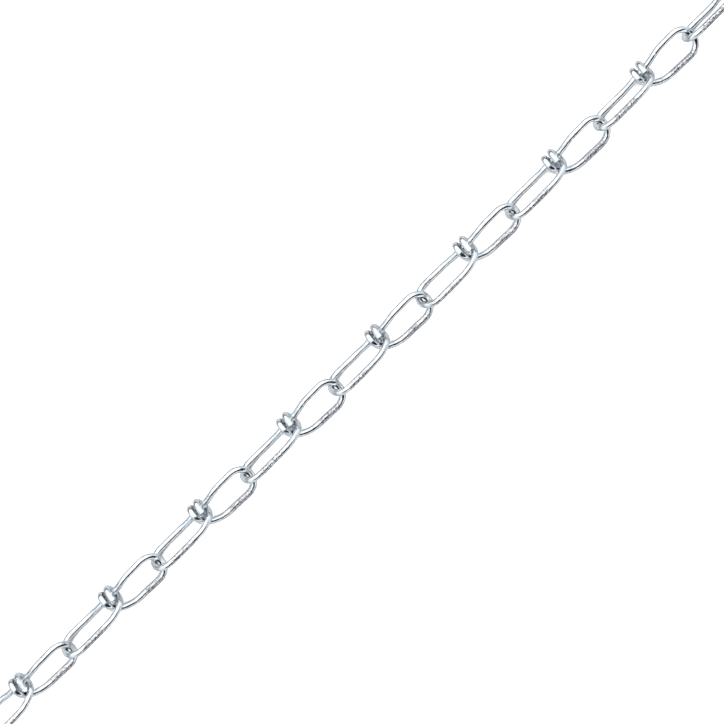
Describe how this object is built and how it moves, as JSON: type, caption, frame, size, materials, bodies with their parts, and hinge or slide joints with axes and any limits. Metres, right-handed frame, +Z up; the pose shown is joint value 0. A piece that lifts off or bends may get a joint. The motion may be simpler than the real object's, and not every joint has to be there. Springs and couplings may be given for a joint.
{
  "type": "length of knotted steel chain",
  "caption": "Straight length of knotted wire chain: each link is one bent wire with two long crossed loops and a wrapped knot between them, free to swing in the next link.",
  "frame": {"origin": "centre of the chain's box in plan, on the floor that it lies on", "axes": "+X along the chain, +Y the side that the knots stand out to, +Z up"},
  "size_m": [1.0064, 0.016, 0.014],
  "materials": {
    "zinc_wire": "bright galvanised round wire with faint drawing marks and scuffs"
  },
  "bodies": {
    "link_01": {"link_01": "zinc_wire"},
    "link_02": {"link_02": "zinc_wire"},
    "link_03": {"link_03": "zinc_wire"},
    "link_04": {"link_04": "zinc_wire"},
    "link_05": {"link_05": "zinc_wire"},
    "link_06": {"link_06": "zinc_wire"},
    "link_07": {"link_07": "zinc_wire"},
    "link_08": {"link_08": "zinc_wire"},
    "link_09": {"link_09": "zinc_wire"},
    "link_10": {"link_10": "zinc_wire"},
    "link_11": {"link_11": "zinc_wire"},
    "link_12": {"link_12": "zinc_wire"},
    "link_13": {"link_13": "zinc_wire"},
    "link_14": {"link_14": "zinc_wire"},
    "link_15": {"link_15": "zinc_wire"},
    "link_16": {"link_16": "zinc_wire"},
    "link_17": {"link_17": "zinc_wire"},
    "link_18": {"link_18": "zinc_wire"},
    "link_19": {"link_19": "zinc_wire"},
    "link_20": {"link_20": "zinc_wire"}
  },
  "joints": [
    {"name": "bend_01_02", "type": "hinge", "parent": "link_02", "child": "link_01", "pos_m": [-0.44999, -0.00089, 0.00588], "axis": [0, 0, -1], "range_deg": [-30, 30]},
    {"name": "bend_02_03", "type": "hinge", "parent": "link_03", "child": "link_02", "pos_m": [-0.39999, -0.00109, 0.0062], "axis": [0, 0, 1], "range_deg": [-30, 30]},
    {"name": "bend_03_04", "type": "hinge", "parent": "link_04", "child": "link_03", "pos_m": [-0.34999, -0.00118, 0.00615], "axis": [0, 0, -1], "range_deg": [-30, 30]},
    {"name": "bend_04_05", "type": "hinge", "parent": "link_05", "child": "link_04", "pos_m": [-0.29999, -0.00105, 0.00604], "axis": [0, 0, 1], "range_deg": [-30, 30]},
    {"name": "bend_05_06", "type": "hinge", "parent": "link_06", "child": "link_05", "pos_m": [-0.24999, -0.00149, 0.00636], "axis": [0, 0, -1], "range_deg": [-30, 30]},
    {"name": "bend_06_07", "type": "hinge", "parent": "link_07", "child": "link_06", "pos_m": [-0.19999, -0.00066, 0.00606], "axis": [0, 0, 1], "range_deg": [-30, 30]},
    {"name": "bend_07_08", "type": "hinge", "parent": "link_08", "child": "link_07", "pos_m": [-0.14999, -0.00022, 0.00636], "axis": [0, 0, -1], "range_deg": [-30, 30]},
    {"name": "bend_08_09", "type": "hinge", "parent": "link_09", "child": "link_08", "pos_m": [-0.09999, -0.00106, 0.00677], "axis": [0, 0, 1], "range_deg": [-30, 30]},
    {"name": "bend_09_10", "type": "hinge", "parent": "link_10", "child": "link_09", "pos_m": [-0.04999, -0.00115, 0.00612], "axis": [0, 0, -1], "range_deg": [-30, 30]},
    {"name": "bend_10_11", "type": "hinge", "parent": "link_10", "child": "link_11", "pos_m": [0.00001, -0.00113, 0.00615], "axis": [0, 0, -1], "range_deg": [-30, 30]},
    {"name": "bend_11_12", "type": "hinge", "parent": "link_11", "child": "link_12", "pos_m": [0.05001, -0.00147, 0.00612], "axis": [0, 0, 1], "range_deg": [-30, 30]},
    {"name": "bend_12_13", "type": "hinge", "parent": "link_12", "child": "link_13", "pos_m": [0.10001, -0.00105, 0.0065], "axis": [0, 0, -1], "range_deg": [-30, 30]},
    {"name": "bend_13_14", "type": "hinge", "parent": "link_13", "child": "link_14", "pos_m": [0.15001, -0.00185, 0.00588], "axis": [0, 0, 1], "range_deg": [-30, 30]},
    {"name": "bend_14_15", "type": "hinge", "parent": "link_14", "child": "link_15", "pos_m": [0.20001, -0.00081, 0.00648], "axis": [0, 0, -1], "range_deg": [-30, 30]},
    {"name": "bend_15_16", "type": "hinge", "parent": "link_15", "child": "link_16", "pos_m": [0.25001, -0.00059, 0.00712], "axis": [0, 0, 1], "range_deg": [-30, 30]},
    {"name": "bend_16_17", "type": "hinge", "parent": "link_16", "child": "link_17", "pos_m": [0.30001, -0.00133, 0.00664], "axis": [0, 0, -1], "range_deg": [-30, 30]},
    {"name": "bend_17_18", "type": "hinge", "parent": "link_17", "child": "link_18", "pos_m": [0.35001, -0.00139, 0.00615], "axis": [0, 0, 1], "range_deg": [-30, 30]},
    {"name": "bend_18_19", "type": "hinge", "parent": "link_18", "child": "link_19", "pos_m": [0.40001, -0.00115, 0.0062], "axis": [0, 0, -1], "range_deg": [-30, 30]},
    {"name": "bend_19_20", "type": "hinge", "parent": "link_19", "child": "link_20", "pos_m": [0.45001, -0.00151, 0.00588], "axis": [0, 0, 1], "range_deg": [-30, 30]}
  ]
}
